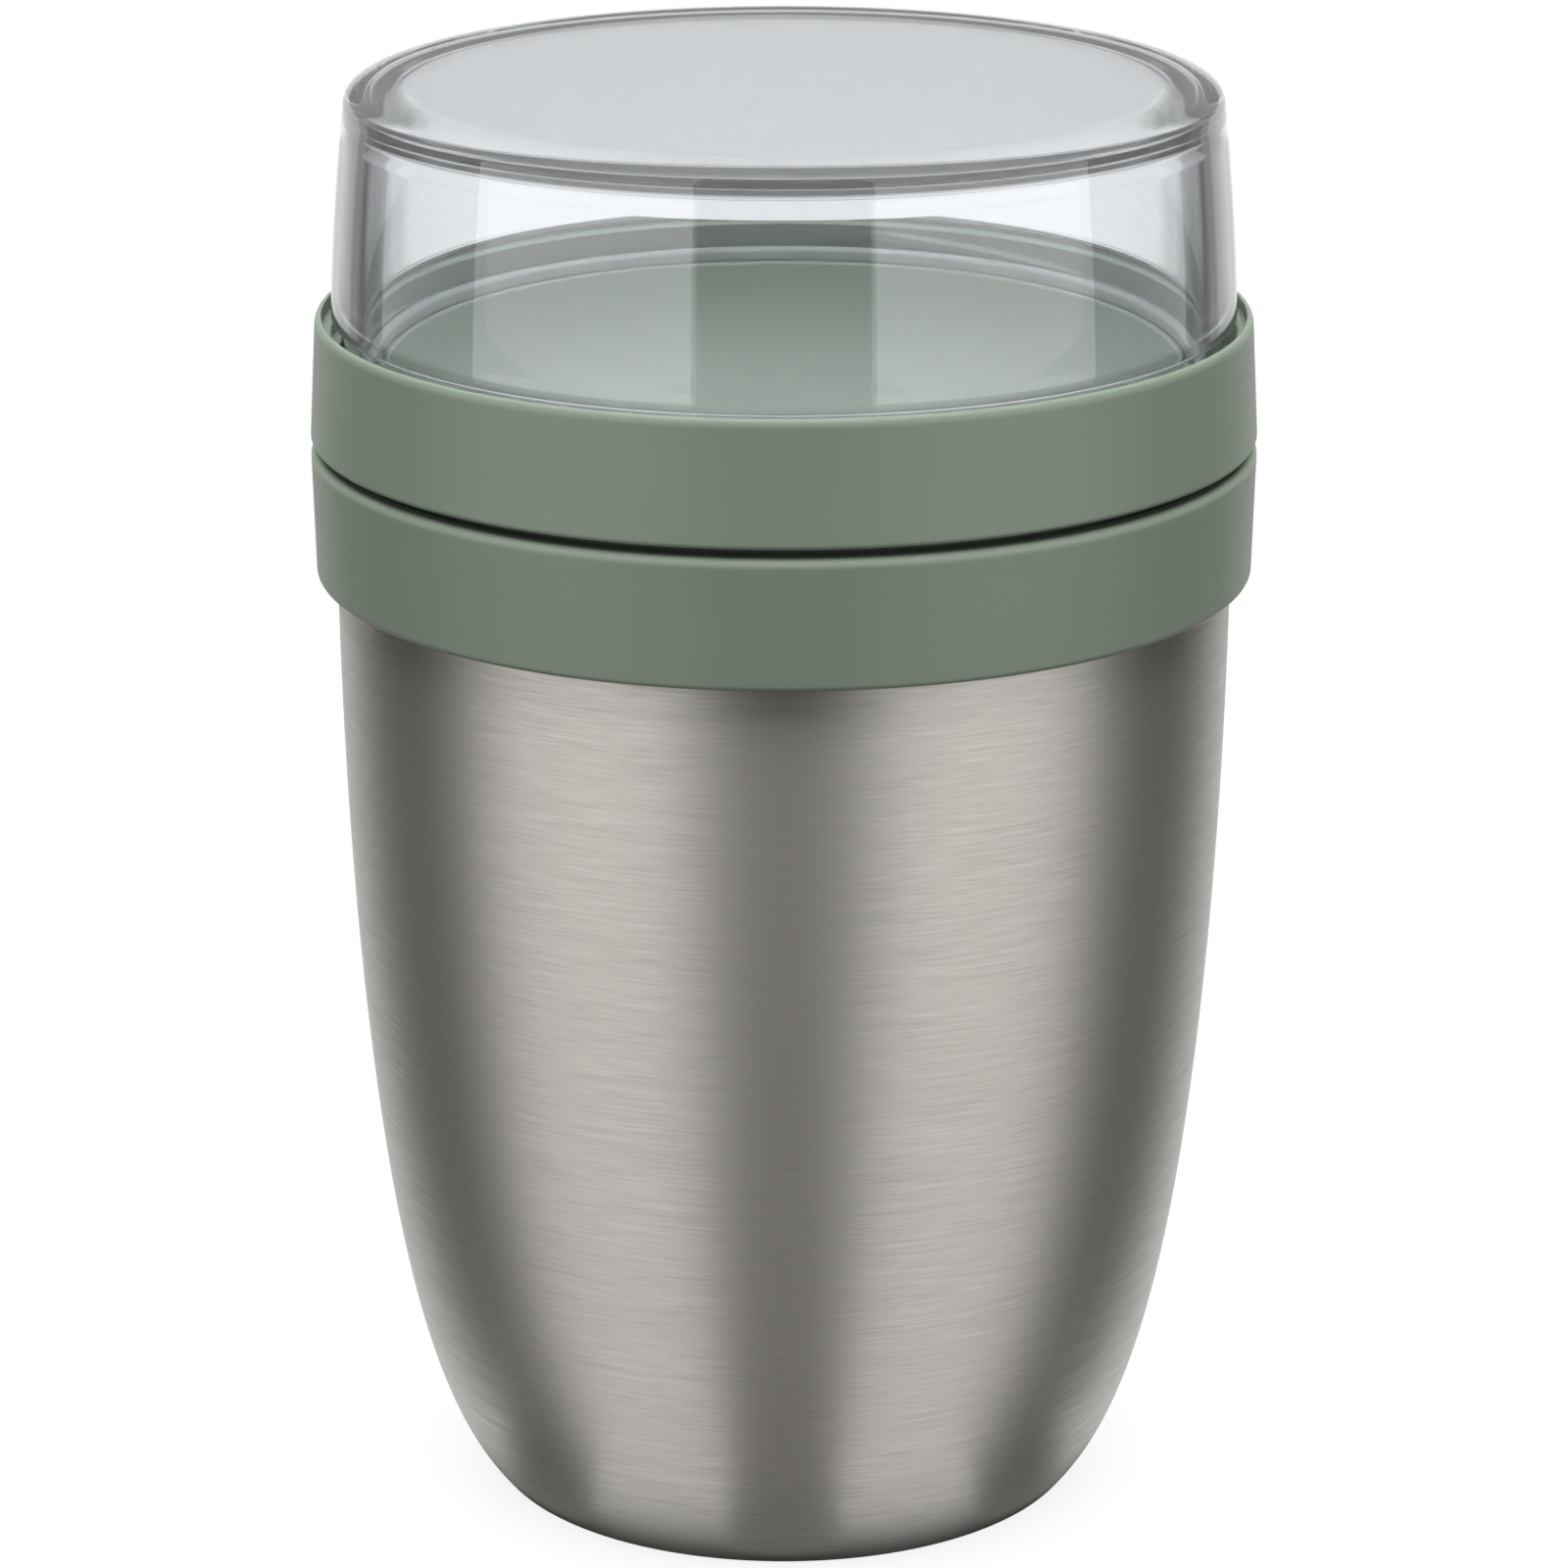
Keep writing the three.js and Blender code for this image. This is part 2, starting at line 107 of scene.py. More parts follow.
# Points of a quarter ellipse, leaving its first point along the axis. A fullness over 2 fills it out
# towards a square corner.
def quarterRound(start, end, steps, fullness=2):
    points = []
    for step in range(steps + 1):
        angle = step / steps * math.pi / 2
        radius = end[0] + (start[0] - end[0]) * math.cos(angle) ** (2 / fullness)
        points.append((radius, start[1] + (end[1] - start[1]) * math.sin(angle) ** (2 / fullness)))
    return points


# A line of points moved to its left by a wall's thickness
def beside(line, distance):
    moved = []
    for place, point in enumerate(line):
        back = (Vector(point) - Vector(line[max(place - 1, 0)])).normalized()
        ahead = (Vector(line[min(place + 1, len(line) - 1)]) - Vector(point)).normalized()
        way = (back + ahead).normalized()
        stretch = max(way.dot(ahead if ahead.length else back), turning["leastStretch"])
        radius = point[0] - way.y * distance / stretch
        moved.append(Vector((0 if point[0] == 0 else radius, point[1] + way.x * distance / stretch)))
    return moved


# The drawn flank of vessel and liner: upright at its top, curling in to the foot, listed from the foot up
flankCurl = {"foot": 6, "side": 1.82, "spread": 1.5}


def drawnFlank(foot, top, curl, steps):
    fall = top[1] - foot[1]
    reach = fall / (1 - (foot[0] / top[0]) ** curl["foot"]) ** (1 / curl["side"])
    points = []
    for step in range(steps + 1):
        height = foot[1] + fall * (step / steps) ** curl["spread"]
        drop = ((top[1] - height) / reach) ** curl["side"]
        points.append((top[0] * (1 - drop) ** (1 / curl["foot"]), height))
    return points


# Threads: the rows of a wall, close enough together to draw the ridges, and the ridges' width and run-out
threadShape = {"row": 0.14, "root": 1.5, "crest": 0.9, "runOut": 0.12}


def threadWall(radius, low, high):
    count = math.ceil(abs(high - low) / threadShape["row"])
    return [(radius, low + (high - low) * step / count) for step in range(count + 1)]


def ease(share):
    share = min(max(share, 0), 1)
    return share * share * (3 - 2 * share)


# How far a thread's ridges stand out of their wall at an angle and height
def threadRidge(thread, angle, height):
    turn = thread["rise"] / thread["lead"] * 2 * math.pi
    most = 0
    for start in range(thread["starts"]):
        first = thread["startAngle"] + start * 2 * math.pi / thread["starts"]
        along = (angle - first) % (2 * math.pi) / turn
        if along < 1:
            middle = thread["bottom"] + threadShape["root"] / 2 + thread["rise"] * along
            flank = threadShape["root"] / 2 - abs(height - middle)
            side = ease(flank / (threadShape["root"] - threadShape["crest"]) * 2)
            end = ease(min(along, 1 - along) / threadShape["runOut"])
            most = max(most, side * end)
    return thread["depth"] * most


# A body of revolution from (radius, height) points in mm. A line that starts and ends on the axis
# closes there, any other line closes on itself. Points on a thread's wall get its ridges.
def turnPiece(name, line, thread=None):
    around = turning["around"]
    onAxis = line[0][0] == 0
    rows = []
    vertices = []
    for radius, height in line:
        if radius == 0:
            rows.append([len(vertices)] * around)
            vertices.append((0, 0, height * millimetre))
            continue
        rows.append(list(range(len(vertices), len(vertices) + around)))
        for step in range(around):
            angle = step / around * 2 * math.pi
            out = radius
            if thread and abs(radius - thread["wall"]) < turning["sameRadius"]:
                out += threadRidge(thread, angle, height)
            out *= millimetre
            vertices.append((out * math.cos(angle), out * math.sin(angle), height * millimetre))
    faces = []
    pairs = list(zip(rows, rows[1:]))
    if not onAxis:
        pairs.append((rows[-1], rows[0]))
    for low, high in pairs:
        for step in range(around):
            after = (step + 1) % around
            corners = [low[step], low[after], high[after], high[step]]
            face = [c for place, c in enumerate(corners) if c != corners[place - 1]]
            if len(face) > 2:
                faces.append(face)
    area = sum((a[0] * b[1] - b[0] * a[1]) for a, b in zip(line, list(line[1:]) + [line[0]]))
    if area < 0:
        faces = [face[::-1] for face in faces]
    mesh = bpy.data.meshes.new(name)
    mesh.from_pydata(vertices, [], faces)
    mesh.shade_smooth()
    mesh.set_sharp_from_angle(angle=turning["sharpAngle"])
    piece = bpy.data.objects.new(name, mesh)
    bpy.context.collection.objects.link(piece)
    return piece


def place(piece, body, slot, material, *replaced):
    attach(piece, body)
    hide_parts(*replaced)
    wear(piece, material)


# Stainless steel sheet, brushed round the pot with a belt: short level scratches that draw each
# reflection out up and down, and split it into fine streaks
brushedSteel = {
    "name": "brushedStainlessSteel",
    "pale": "#c0bdb8", "deep": "#aca9a4",
    "roughness": 0.50, "glossDrift": 0.04, "anisotropic": 0.58, "rotation": 0.25,
    "streakLength": 6.0, "streakWidth": 0.16,      # one belt scratch, mm
    "bundleLength": 22.0, "bundleWidth": 0.7,      # groups of scratches
    "bundleShare": 0.45, "toneSpan": (0.45, 1.0), "noiseDetail": 2.0, "noiseRoughness": 0.6,
    "bumpDepth": 0.004, "bumpStrength": 0.25,
}


def makeBrushedSteel(look):
    material, tree = startMaterial(look["name"])
    coords = addNode(tree, "TexCoord")
    streaks = []
    for length, width in (("streakLength", "streakWidth"), ("bundleLength", "bundleWidth")):
        across = 1 / (look[length] * millimetre)
        up = 1 / (look[width] * millimetre)
        stretch = addNode(tree, "Mapping", {}, {"Scale": (across, across, up)},
                          {"Vector": coords.outputs["Object"]})
        streaks.append(addNode(tree, "TexNoise", {}, {"Scale": 1.0, "Detail": look["noiseDetail"],
                                                      "Roughness": look["noiseRoughness"]},
                               {"Vector": stretch.outputs["Vector"]}))
    both = addNode(tree, "Math", {"operation": "MULTIPLY_ADD"}, {1: look["bundleShare"]},
                   {0: streaks[1].outputs["Fac"], 2: streaks[0].outputs["Fac"]})
    low, high = look["toneSpan"]
    tone = addNode(tree, "MapRange", {}, {"From Min": low, "From Max": high}, {"Value": both.outputs[0]})
    colour = addNode(tree, "Mix", {"data_type": "RGBA"},
                     {6: hexToLinear(look["deep"]), 7: hexToLinear(look["pale"])},
                     {0: tone.outputs["Result"]})
    gloss = addNode(tree, "MapRange", {},
                    {"From Min": low, "From Max": high, "To Min": look["roughness"] + look["glossDrift"],
                     "To Max": look["roughness"] - look["glossDrift"]}, {"Value": both.outputs[0]})
    bump = addNode(tree, "Bump", {},
                   {"Strength": look["bumpStrength"], "Distance": look["bumpDepth"] * millimetre},
                   {"Height": streaks[0].outputs["Fac"]})
    tangent = addNode(tree, "Tangent", {"direction_type": "RADIAL", "axis": "Z"})
    steel = addNode(tree, "BsdfPrincipled", {},
                    {"Metallic": 1.0, "Anisotropic": look["anisotropic"],
                     "Anisotropic Rotation": look["rotation"]},
                    {"Base Color": colour.outputs[2], "Roughness": gloss.outputs["Result"],
                     "Normal": bump.outputs["Normal"], "Tangent": tangent.outputs["Tangent"]})
    addNode(tree, "OutputMaterial", {}, {}, {"Surface": steel.outputs["BSDF"]})
    return material


# Stainless steel, drawn, then polished in a bath: bright and soft, with faint rings from the spinning
polishedSteel = {
    "name": "electropolishedStainlessSteel",
    "pale": "#cfccc8", "deep": "#bfbcb8", "roughness": 0.24, "glossDrift": 0.06,
    "ringWidth": 0.5, "ringLength": 60.0,          # spinning marks, mm
    "noiseDetail": 2.0, "bumpDepth": 0.006, "bumpStrength": 0.2,
}


def makePolishedSteel(look):
    material, tree = startMaterial(look["name"])
    coords = addNode(tree, "TexCoord")
    across = 1 / (look["ringLength"] * millimetre)
    up = 1 / (look["ringWidth"] * millimetre)
    stretch = addNode(tree, "Mapping", {}, {"Scale": (across, across, up)},
                      {"Vector": coords.outputs["Object"]})
    rings = addNode(tree, "TexNoise", {}, {"Scale": 1.0, "Detail": look["noiseDetail"]},
                    {"Vector": stretch.outputs["Vector"]})
    colour = addNode(tree, "Mix", {"data_type": "RGBA"},
                     {6: hexToLinear(look["deep"]), 7: hexToLinear(look["pale"])},
                     {0: rings.outputs["Fac"]})
    gloss = addNode(tree, "MapRange", {},
                    {"To Min": look["roughness"] + look["glossDrift"],
                     "To Max": look["roughness"] - look["glossDrift"]}, {"Value": rings.outputs["Fac"]})
    bump = addNode(tree, "Bump", {},
                   {"Strength": look["bumpStrength"], "Distance": look["bumpDepth"] * millimetre},
                   {"Height": rings.outputs["Fac"]})
    steel = addNode(tree, "BsdfPrincipled", {}, {"Metallic": 1.0},
                    {"Base Color": colour.outputs[2], "Roughness": gloss.outputs["Result"],
                     "Normal": bump.outputs["Normal"]})
    addNode(tree, "OutputMaterial", {}, {}, {"Surface": steel.outputs["BSDF"]})
    return material


# Polypropylene, injection moulded in a spark-eroded tool: an even fine grain that takes the shine off,
# in a grey sage green with hardly any drift in the colour
greenPlastic = {
    "name": "sparkTexturedPolypropylene",
    "body": "#6e7a6c", "cloud": "#717d6f", "roughness": 0.45, "ior": 1.49,
    "grain": 0.35,                                 # spark pits are about 0.05 mm, drawn coarser to show
    "grainDetail": 3.0, "grainRoughness": 0.6, "grainSpan": (0.3, 0.7), "glossDrift": (-0.05, 0.07),
    "cloudSize": 9.0, "cloudDetail": 2.0, "bumpDepth": 0.02, "bumpStrength": 0.1,
}
# The same moulding inside the cup, painted paler as painted light that stands for the light falling into the
# bowl, most at the bottom
paintedLightPlastic = {
    "name": "scouredPolypropylene", "tone": "#969d94",
    "radius": (51.9, 51.3), "height": (140.0, 122.0),  # where the painted light starts and where it is full, mm
}


def makeGreenPlastic(look, paintedLight=None):
    material, tree = startMaterial(paintedLight["name"] if paintedLight else look["name"])
    coords = addNode(tree, "TexCoord")
    grain = addNode(tree, "TexNoise", {},
                    {"Scale": 1 / (look["grain"] * millimetre), "Detail": look["grainDetail"],
                     "Roughness": look["grainRoughness"]}, {"Vector": coords.outputs["Object"]})
    clouds = addNode(tree, "TexNoise", {},
                     {"Scale": 1 / (look["cloudSize"] * millimetre), "Detail": look["cloudDetail"]},
                     {"Vector": coords.outputs["Object"]})
    colour = addNode(tree, "Mix", {"data_type": "RGBA"},
                     {6: hexToLinear(look["body"]), 7: hexToLinear(look["cloud"])},
                     {0: clouds.outputs["Fac"]})
    # Painted light: inside the bowl the colour is mixed towards a paler tone, fully so deeper down
    if paintedLight:
        apart = addNode(tree, "SeparateXYZ", {}, {}, {"Vector": coords.outputs["Object"]})
        flat = addNode(tree, "VectorMath", {"operation": "MULTIPLY"}, {1: (1, 1, 0)},
                       {0: coords.outputs["Object"]})
        radius = addNode(tree, "VectorMath", {"operation": "LENGTH"}, {}, {0: flat.outputs["Vector"]})
        spans = []
        for way, source in (("radius", radius.outputs["Value"]), ("height", apart.outputs["Z"])):
            start, end = [edge * millimetre for edge in paintedLight[way]]
            spans.append(addNode(tree, "MapRange", {}, {"From Min": start, "From Max": end},
                                 {"Value": source}))
        paintedLightShare = addNode(tree, "Math", {"operation": "MULTIPLY"}, {},
                         {0: spans[0].outputs["Result"], 1: spans[1].outputs["Result"]})
        colour = addNode(tree, "Mix", {"data_type": "RGBA"}, {7: hexToLinear(paintedLight["tone"])},
                         {0: paintedLightShare.outputs[0], 6: colour.outputs[2]})
    low, high = look["grainSpan"]
    smooth, rough = [look["roughness"] + drift for drift in look["glossDrift"]]
    gloss = addNode(tree, "MapRange", {},
                    {"From Min": low, "From Max": high, "To Min": smooth, "To Max": rough},
                    {"Value": grain.outputs["Fac"]})
    bump = addNode(tree, "Bump", {},
                   {"Strength": look["bumpStrength"], "Distance": look["bumpDepth"] * millimetre},
                   {"Height": grain.outputs["Fac"]})
    plastic = addNode(tree, "BsdfPrincipled", {}, {"IOR": look["ior"]},
                      {"Base Color": colour.outputs[2], "Roughness": gloss.outputs["Result"],
                       "Normal": bump.outputs["Normal"]})
    addNode(tree, "OutputMaterial", {}, {}, {"Surface": plastic.outputs["BSDF"]})
    return material


# Clear copolyester, injection moulded in a polished tool: see-through with a faint cool cast and
# a thin milky veil over what lies behind it
clearPlastic = {
    "name": "clearMouldedCopolyester",
    "cast": "#f9fbfd", "roughness": 0.012, "haze": 0.03, "ior": 1.54, "clear": 0.97,
    "flowSize": 14.0,                              # slow ripples left by the flow, mm
    "flowDetail": 1.0, "flowSpan": (0.35, 0.75),
}


def makeClearPlastic(look):
    material, tree = startMaterial(look["name"])
    coords = addNode(tree, "TexCoord")
    flow = addNode(tree, "TexNoise", {},
                   {"Scale": 1 / (look["flowSize"] * millimetre), "Detail": look["flowDetail"]},
                   {"Vector": coords.outputs["Object"]})
    low, high = look["flowSpan"]
    gloss = addNode(tree, "MapRange", {},
                    {"From Min": low, "From Max": high, "To Min": look["roughness"], "To Max": look["haze"]},
                    {"Value": flow.outputs["Fac"]})
    plastic = addNode(tree, "BsdfPrincipled", {},
                      {"Base Color": hexToLinear(look["cast"]), "IOR": look["ior"],
                       "Transmission Weight": look["clear"]}, {"Roughness": gloss.outputs["Result"]})
    addNode(tree, "OutputMaterial", {}, {}, {"Surface": plastic.outputs["BSDF"]})
    return material


# Silicone rubber, compression moulded: milky, soft in the light, a fine dusty skin
sealRubber = {
    "name": "mouldedSiliconeRubber",
    "body": "#8a908e", "dust": "#959b99", "roughness": 0.5, "ior": 1.41,
    "grain": 0.5, "grainDetail": 2.0, "bumpDepth": 0.01, "bumpStrength": 0.2,
}


def makeSealRubber(look):
    material, tree = startMaterial(look["name"])
    coords = addNode(tree, "TexCoord")
    grain = addNode(tree, "TexNoise", {},
                    {"Scale": 1 / (look["grain"] * millimetre), "Detail": look["grainDetail"]},
                    {"Vector": coords.outputs["Object"]})
    colour = addNode(tree, "Mix", {"data_type": "RGBA"},
                     {6: hexToLinear(look["body"]), 7: hexToLinear(look["dust"])},
                     {0: grain.outputs["Fac"]})
    bump = addNode(tree, "Bump", {},
                   {"Strength": look["bumpStrength"], "Distance": look["bumpDepth"] * millimetre},
                   {"Height": grain.outputs["Fac"]})
    rubber = addNode(tree, "BsdfPrincipled", {}, {"IOR": look["ior"], "Roughness": look["roughness"]},
                     {"Base Color": colour.outputs[2], "Normal": bump.outputs["Normal"]})
    addNode(tree, "OutputMaterial", {}, {}, {"Surface": rubber.outputs["BSDF"]})
    return material


# The pieces sealed inside: rigid polyurethane foam, blown in place, with small closed cells;
# a getter of pressed and sintered metal powder; a bead of fused solder glass
hiddenFinishes = {
    "foam": {"name": "blownPolyurethaneFoam", "body": "#ece9df", "shade": "#d6d1c2",
             "cell": 0.6, "roughness": 0.95, "metallic": 0.0, "ior": 1.45, "depth": 0.15, "bump": 0.5},
    "getter": {"name": "sinteredGetterMetal", "body": "#6b6a68", "shade": "#55534f",
               "cell": 0.12, "roughness": 0.8, "metallic": 0.6, "ior": 1.5, "depth": 0.03, "bump": 0.5},
    "glass": {"name": "fusedSolderGlass", "body": "#9b9a97", "shade": "#83817c",
              "cell": 0.8, "roughness": 0.25, "metallic": 0.0, "ior": 1.75, "depth": 0.02, "bump": 0.5},
}


def makeHiddenFinish(look):
    material, tree = startMaterial(look["name"])
    coords = addNode(tree, "TexCoord")
    cells = addNode(tree, "TexVoronoi", {}, {"Scale": 1 / (look["cell"] * millimetre)},
                    {"Vector": coords.outputs["Object"]})
    colour = addNode(tree, "Mix", {"data_type": "RGBA"},
                     {6: hexToLinear(look["body"]), 7: hexToLinear(look["shade"])},
                     {0: cells.outputs["Distance"]})
    bump = addNode(tree, "Bump", {"invert": True},
                   {"Strength": look["bump"], "Distance": look["depth"] * millimetre},
                   {"Height": cells.outputs["Distance"]})
    finish = addNode(tree, "BsdfPrincipled", {},
                     {"Roughness": look["roughness"], "Metallic": look["metallic"], "IOR": look["ior"]},
                     {"Base Color": colour.outputs[2], "Normal": bump.outputs["Normal"]})
    addNode(tree, "OutputMaterial", {}, {}, {"Surface": finish.outputs["BSDF"]})
    return material


steelFinish = makeBrushedSteel(brushedSteel)
linerFinish = makePolishedSteel(polishedSteel)
greenFinish = makeGreenPlastic(greenPlastic)
cupFinish = makeGreenPlastic(greenPlastic, paintedLightPlastic)
clearFinish = makeClearPlastic(clearPlastic)
rubberFinish = makeSealRubber(sealRubber)
foamFinish = makeHiddenFinish(hiddenFinishes["foam"])
getterFinish = makeHiddenFinish(hiddenFinishes["getter"])
glassFinish = makeHiddenFinish(hiddenFinishes["glass"])
print("materials made:", len(bpy.data.materials))

# Steel vessel: one drawn sheet from the foot flange up to the stepped-in neck
vesselSizes = {
    "wall": 0.6, "footInner": 30.6, "footCorner": 33.96, "footFillet": 1.2,
    "flankFoot": (34.8, 1.0), "flankTop": (50.8, 110.0), "flankRows": 90,
    "neck": 48.8, "neckBottom": 111.2, "neckTop": 113.05,
}


def makeVessel(size):
    flank = drawnFlank(size["flankFoot"], size["flankTop"], flankCurl, size["flankRows"])
    foot = rounded([(size["footInner"], 0), (size["footCorner"], 0, size["footFillet"]), flank[0]])
    neck = [(size["neck"], size["neckBottom"]), (size["neck"], size["neckTop"])]
    outside = [Vector(point) for point in foot[:-1] + flank + neck]
    return turnPiece("steel_vessel", outside + beside(outside, size["wall"])[::-1])


place(makeVessel(vesselSizes), "vessel", "shell_steel", steelFinish, "outer_shell")

# Base disc: a recessed plate with a turned-down rim, a stamped bead and the dimple of the vacuum seal
discSizes = {
    "edge": 30.35, "rim": 0.8, "rimFoot": 0.25, "under": 0.9, "wall": 0.8,
    "beadOuter": 24.0, "beadInner": 20.0, "beadRise": 0.35, "beadSlope": 1.2, "beadFillet": 1,
    "dimple": 4.5, "dimpleRise": 0.9, "hole": 1.0, "fillet": 0.35, "rimFillet": 0.2,
}


def makeBaseDisc(size):
    fillet = size["fillet"]
    upper = size["under"] + size["wall"]
    bead = size["beadRise"]
    slope = size["beadSlope"]
    soft = size["beadFillet"]
    return turnPiece("base_disc", rounded([
        (size["edge"] - size["rim"], size["rimFoot"], size["rimFillet"]),
        (size["edge"], size["rimFoot"], size["rimFillet"]),
        (size["edge"], upper, fillet),
        (size["beadOuter"], upper, soft),
        (size["beadOuter"] - slope, upper + bead, soft),
        (size["beadInner"] + slope, upper + bead, soft),
        (size["beadInner"], upper, soft),
        (size["dimple"] + size["wall"], upper, fillet),
        (size["dimple"], upper + size["dimpleRise"], fillet),
        (size["hole"], upper + size["dimpleRise"]),
        (size["hole"], size["under"] + size["dimpleRise"]),
        (size["dimple"] - size["wall"], size["under"] + size["dimpleRise"], fillet),
        (size["dimple"], size["under"], fillet),
        (size["beadInner"], size["under"], soft),
        (size["beadInner"] + slope, size["under"] + bead, soft),
        (size["beadOuter"] - slope, size["under"] + bead, soft),
        (size["beadOuter"], size["under"], soft),
        (size["edge"] - size["rim"], size["under"], fillet),
    ], True))


place(makeBaseDisc(discSizes), "vessel", "shell_steel", linerFinish, "base_plate")

# Vacuum seal: a bead of solder glass, domed where it melted
beadSizes = {
    "low": 0.95, "edge": 3.4, "top": 1.55, "domeRows": 10,
    "stem": 0.75, "stemTop": 2.35, "stemFillet": 0.3,
}


def makeSealBead(size):
    dome = quarterRound((size["edge"], size["top"]), (0, size["low"]), size["domeRows"])[::-1]
    stem = rounded([
        dome[-1],
        (size["stem"], size["top"]),
        (size["stem"], size["stemTop"], size["stemFillet"]),
        (0, size["stemTop"]),
    ])
    return turnPiece("vacuum_bead", [Vector(p) for p in dome[:-1]] + stem)


place(makeSealBead(beadSizes), "vessel", "seal_glass", glassFinish, "vacuum_seal")

# Liner: flat floor, curled flank, straight mouth and a rounded lip that lies on the neck
linerSizes = {
    "wall": 0.6, "floor": 6.0, "flankFoot": (26.0, 6.0), "floorFillet": 9.0, "flankTop": (46.2, 97.6),
    "flankRows": 60, "floorRow": 3, "lipTop": 113.9, "lipFillet": 1.1, "lipEdge": 48.8,
}


def makeLiner(size):
    flank = drawnFlank(size["flankFoot"], size["flankTop"], flankCurl, size["flankRows"])
    side = flank[size["floorRow"]:]
    floor = rounded([(0, size["floor"]), (*size["flankFoot"], size["floorFillet"]), side[0]])
    mouth = rounded([flank[-1], (size["flankTop"][0], size["lipTop"], size["lipFillet"]),
                     (size["lipEdge"], size["lipTop"])])
    inside = floor[:-1] + [Vector(point) for point in side[:-1]] + mouth
    return turnPiece("vessel_liner", inside + beside(inside, -size["wall"])[::-1])


place(makeLiner(linerSizes), "vessel", "liner_steel", linerFinish, "inner_liner")

# Collar: rounded lower and upper edges outside, seal groove, ledge and four thread ridges inside
collarSizes = {
    "foot": 109.1, "footInner": 50.87, "sideFoot": 53.13, "footFillet": 0.6,
    "top": 123.7, "sideTop": 53.52, "topFillet": 1.0, "chamfer": 0.3,
    "ledge": 114.3, "neckBore": 49.05, "groove": (50.3, 111.45, 113.25), "shoulder": 110.0,
}
collarThread = {"wall": 51.1, "depth": -1.1, "bottom": 118.3, "rise": 3.0, "lead": 24,
                "starts": 4, "startAngle": 0}


def makeCollar(size, thread):
    bore = thread["wall"]
    grooveBore, grooveBottom, grooveTop = size["groove"]
    side = rounded([
        (size["footInner"], size["foot"]),
        (size["sideFoot"], size["foot"], size["footFillet"]),
        (size["sideTop"], size["top"], size["topFillet"]),
        (bore + size["chamfer"], size["top"]),
    ])
    inside = [(size["neckBore"], size["ledge"]), (size["neckBore"], grooveTop), (grooveBore, grooveTop),
              (grooveBore, grooveBottom), (size["neckBore"], grooveBottom),
              (size["footInner"], size["shoulder"])]
    return turnPiece("collar_ring", [tuple(p) for p in side]
                     + threadWall(bore, size["top"] - size["chamfer"], size["ledge"]) + inside, thread)


place(makeCollar(collarSizes, collarThread), "vessel", "green_plastic", greenFinish, "neck_collar")

# Cup: upper ring with its rim and thread, the channel for the lid's skirt, and the bowl, one moulding
cupSizes = {
    "bottom": 124.7, "side": 53.522, "edgeFillet": 0.5, "underGap": 0.3, "underStep": 0.15,
    "rimTop": 138.7, "rimEdge": (52.85, 137.5), "rimFlat": 52.3, "rimRows": 10, "rimBore": 52.05,
    "rimTopFillet": 0.15, "rimFoot": 137.1, "rimFillet": 0.2, "chamfer": 0.3,
    "channel": 127.7, "channelFillet": 0.5, "bowlRim": 47.9, "bowlRimFillet": 0.25,
    "seat": 132.7, "seatFillet": 0.15, "lip": 46.0, "lipTop": 133.3, "lipFillet": 0.2,
    "mouth": 45.1, "mouthOut": 0.12, "mouthFillet": 0.35,
    "bowlDepth": 30.0, "fullness": 2.614, "wall": 1.5, "bowlRows": 40, "mouthRows": 3,
}
ringThread = {"wall": 51.0, "depth": -1.0, "bottom": 130.2, "rise": 4.75, "lead": 18,
              "starts": 3, "startAngle": math.radians(-15)}


def makeCup(size, thread):
    bowl = []
    for step in range(size["bowlRows"] + 1):
        fall = math.cos(step / size["bowlRows"] * math.pi / 2)
        radius = size["mouth"] * (1 - fall ** 2) ** (1 / size["fullness"]) if step else 0
        bowl.append(Vector((radius, size["seat"] - size["bowlDepth"] * fall)))
    meets = size["bottom"] - size["underGap"]
    under = [point for point in beside(bowl, -size["wall"]) if point[1] < meets]
    bore = thread["wall"]
    edge = quarterRound(size["rimEdge"], (size["rimFlat"], size["rimTop"]), size["rimRows"])
    ring = rounded([
        (under[-1][0] + size["underStep"], size["bottom"]),
        (size["side"], size["bottom"], size["edgeFillet"]),
        edge[0],
    ]) + [Vector(point) for point in edge[1:-1]] + rounded([
        edge[-1],
        (size["rimBore"], size["rimTop"], size["rimTopFillet"]),
        (size["rimBore"], size["rimFoot"], size["rimFillet"]),
        (bore + size["chamfer"], size["rimFoot"]),
    ])
    inside = bowl[-size["mouthRows"]::-1]
    seat = rounded([
        (bore, size["channel"]),
        (size["bowlRim"], size["channel"], size["channelFillet"]),
        (size["bowlRim"], size["seat"], size["bowlRimFillet"]),
        (size["lip"], size["seat"], size["seatFillet"]),
        (size["lip"], size["lipTop"], size["lipFillet"]),
        (size["mouth"] + size["mouthOut"], size["lipTop"], size["mouthFillet"]),
        tuple(inside[0]),
    ])
    wall = threadWall(bore, size["rimFoot"] - size["chamfer"], size["channel"])
    line = under + ring + [Vector(p) for p in wall] + seat[1:-1] + inside
    return turnPiece("cup_moulding", [tuple(p) for p in line], thread)


place(makeCup(cupSizes, ringThread), "cup", "green_plastic", cupFinish, "cup_bowl")

# Plug: the wall with the cup's thread and the rounded tip that closes the vessel's mouth
plugSizes = {
    "bottom": 97.6, "tip": 45.5, "tipFillet": 7.0, "shoulder": 116.2, "shoulderFillet": 0.4,
    "top": 124.45, "topFillet": 0.2, "wall": 1.5, "tipBore": 44.0, "floor": 99.1, "innerFillet": 5.5,
    "panel": 30.0, "panelRise": 0.5, "panelSlope": 0.8, "panelFillet": 0.6,
    "gate": 2.2, "gateRise": 0.5, "gateSlope": 0.2, "gateFillet": 0.15,
}
plugThread = {"wall": 49.6, "depth": 1.1, "bottom": 116.45, "rise": 3.0, "lead": 24,
              "starts": 4, "startAngle": 0}


